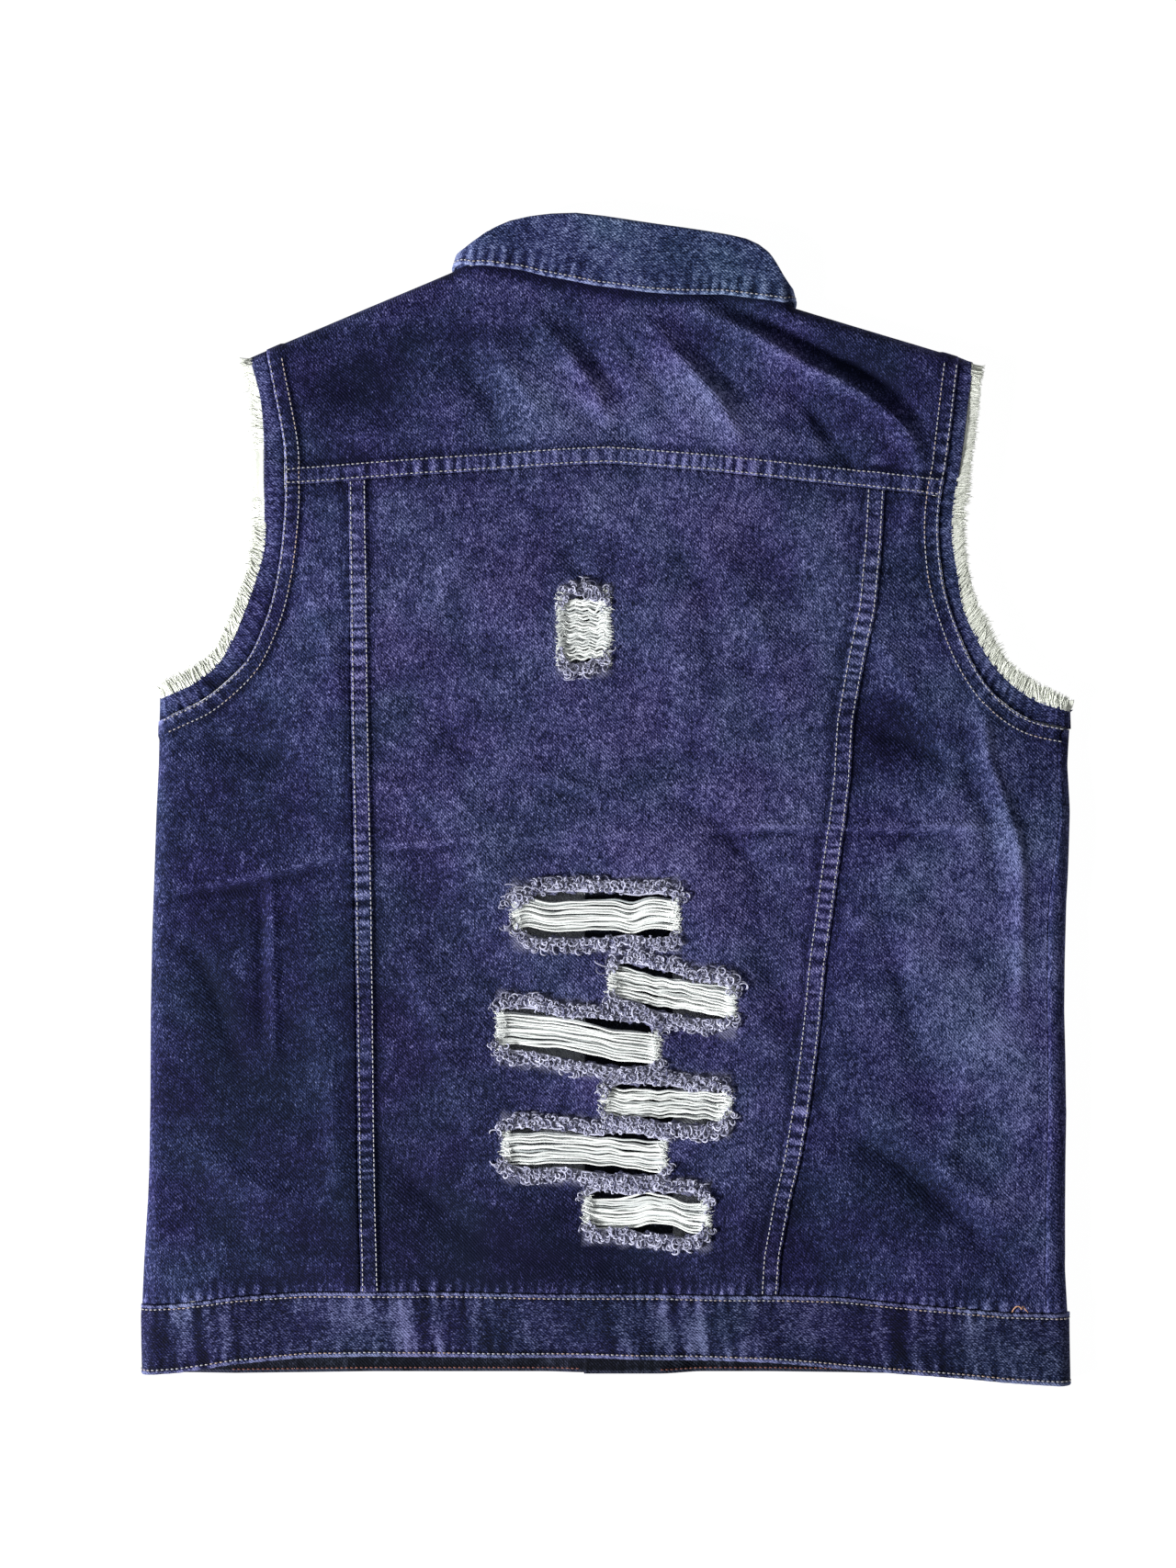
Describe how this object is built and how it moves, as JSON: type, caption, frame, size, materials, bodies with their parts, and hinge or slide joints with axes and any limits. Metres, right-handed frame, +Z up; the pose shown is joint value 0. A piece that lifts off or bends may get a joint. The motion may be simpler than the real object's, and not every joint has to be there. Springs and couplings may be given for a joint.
{
  "type": "denim vest laid flat",
  "caption": "Sleeveless denim vest lying face down, with a turned-down collar, frayed armholes, a waistband and worn-through rips across the back.",
  "frame": {"origin": "centre of the vest's footprint, on the surface it lies on", "axes": "+X towards the wearer's right side, +Y towards the collar, +Z up out of the back, square to the surface"},
  "size_m": [0.5286, 0.6635, 0.018],
  "materials": {
    "denim_yoke": "washed indigo twill",
    "denim_body": "washed indigo twill",
    "denim_side": "washed indigo twill",
    "denim_waistband": "washed indigo twill, puckered",
    "denim_collar": "washed indigo twill, puckered",
    "denim_facing": "indigo twill, little washed",
    "armhole_band": "indigo twill, felled and rubbed",
    "white_thread": "undyed cotton yarn",
    "rip_fray": "frayed cotton yarn, part dyed",
    "button_steel": "dull plated steel"
  },
  "bodies": {
    "root": {"back_yoke": "denim_yoke", "back_centre": "denim_body", "back_side_left": "denim_side", "back_side_right": "denim_side", "front_left": "denim_body", "front_right": "denim_body", "facing_right": "denim_facing", "waistband": "denim_waistband", "collar": "denim_collar", "armhole_band_back_left": "armhole_band", "armhole_band_back_right": "armhole_band", "armhole_band_front_left": "armhole_band", "armhole_band_front_right": "armhole_band", "armhole_fringe_back_left": "white_thread", "armhole_fringe_back_right": "white_thread", "armhole_fringe_front_left": "white_thread", "armhole_fringe_front_right": "white_thread", "rip_threads_1": "white_thread", "rip_threads_2": "white_thread", "rip_threads_3": "white_thread", "rip_threads_4": "white_thread", "rip_threads_5": "white_thread", "rip_threads_6": "white_thread", "rip_threads_7": "white_thread", "rip_fray_1_upper": "rip_fray", "rip_fray_1_lower": "rip_fray", "rip_fray_2_upper": "rip_fray", "rip_fray_2_lower": "rip_fray", "rip_fray_3_upper": "rip_fray", "rip_fray_3_lower": "rip_fray", "rip_fray_4_upper": "rip_fray", "rip_fray_4_lower": "rip_fray", "rip_fray_5_upper": "rip_fray", "rip_fray_5_lower": "rip_fray", "rip_fray_6_upper": "rip_fray", "rip_fray_6_lower": "rip_fray", "rip_fray_7_upper": "rip_fray", "rip_fray_7_lower": "rip_fray", "button_1": "button_steel", "button_2": "button_steel", "button_3": "button_steel", "button_4": "button_steel", "button_5": "button_steel", "button_6": "button_steel"}
  },
  "joints": []
}
